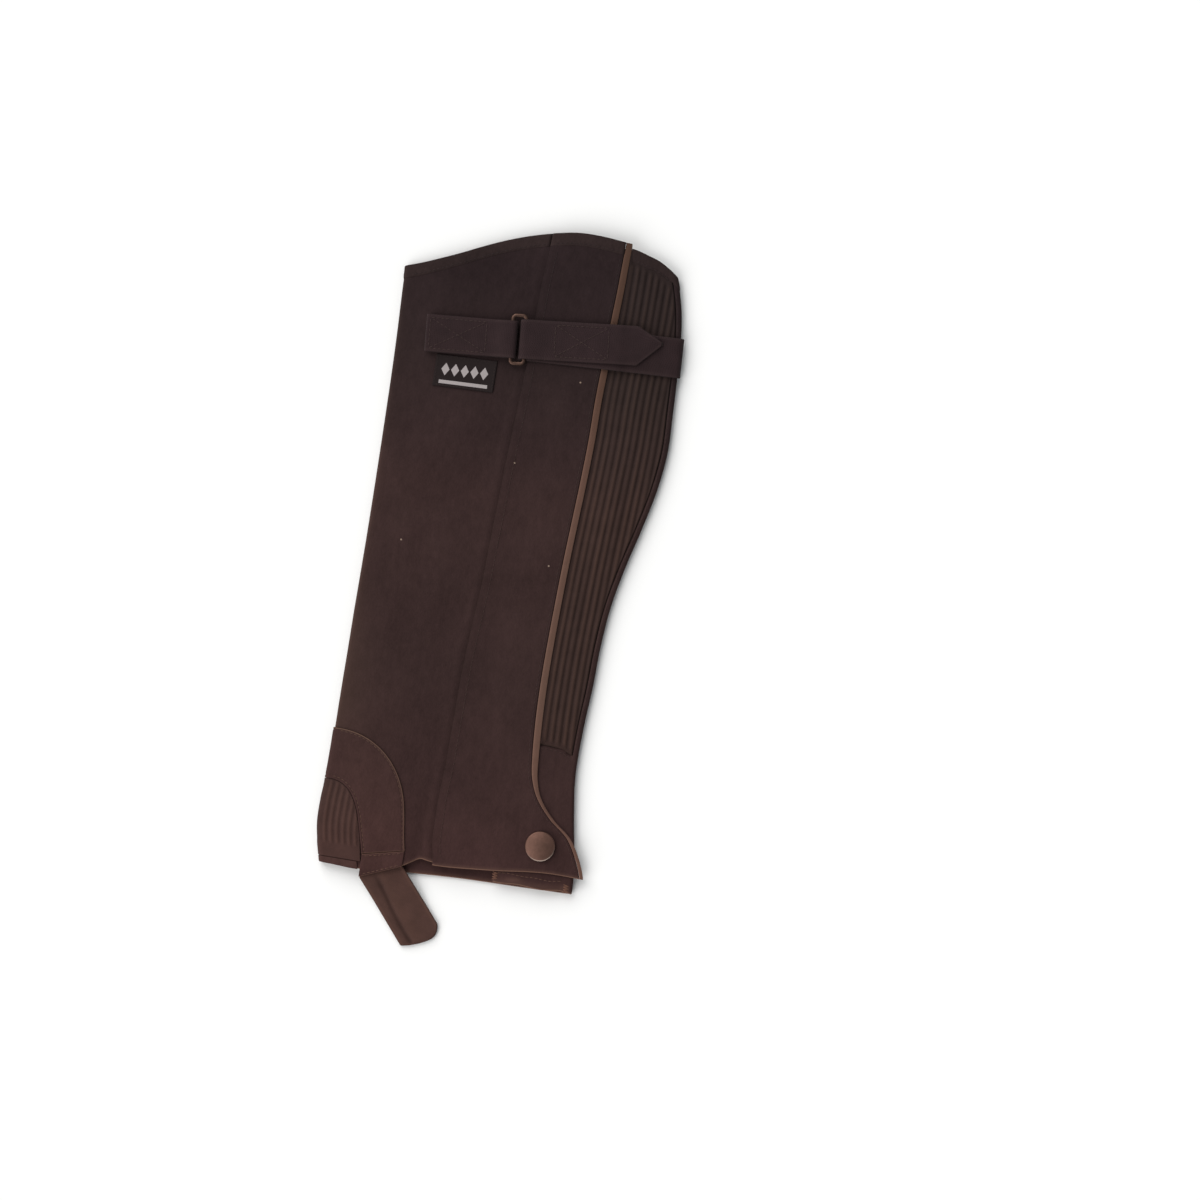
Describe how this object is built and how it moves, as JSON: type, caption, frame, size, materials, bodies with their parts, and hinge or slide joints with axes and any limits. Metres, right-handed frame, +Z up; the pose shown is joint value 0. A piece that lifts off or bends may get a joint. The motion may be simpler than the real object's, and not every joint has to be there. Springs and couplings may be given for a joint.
{
  "type": "half chap",
  "caption": "Soft suede tube for the lower leg, pressed flat, with a covered zip, ribbed elastic calf panel, calf strap with a wire ring, gusset at the instep and a foot strap.",
  "frame": {"origin": "below the middle of the half chap's box, on the surface that it lies on", "axes": "+X across the leg from the shin edge to the calf edge, +Y up the leg from the hem to the mouth, +Z up from the surface through both layers"},
  "size_m": [0.1864, 0.4694, 0.0137],
  "materials": {
    "suede": "napped brown synthetic suede",
    "binding": "napped brown binding",
    "elastic": "ribbed brown elastic",
    "webbing": "woven brown webbing",
    "piping": "light brown flat piping",
    "label": "dark woven label",
    "tape": "woven zip tape",
    "metal": "brown antiqued metal",
    "brass": "bright brass"
  },
  "bodies": {
    "root": {"main_panel": "suede", "calf_panel": "suede", "flap": "suede", "gusset_patch": "suede", "foot_tab_outer": "suede", "foot_tab_inner": "suede", "grip_patch": "suede", "elastic_panel": "elastic", "gusset_elastic": "elastic", "foot_strap": "elastic", "top_binding": "binding", "flap_binding": "binding", "elastic_binding": "binding", "gusset_hem": "binding", "piping": "piping", "strap_tab": "webbing", "calf_strap": "webbing", "strap_ring": "metal", "snap_cap": "metal", "snap_back": "brass", "label": "label", "zip_tape_left": "tape", "zip_tape_right": "tape", "zip_chain": "brass", "zip_slider": "metal", "zip_pull": "metal"}
  },
  "joints": []
}
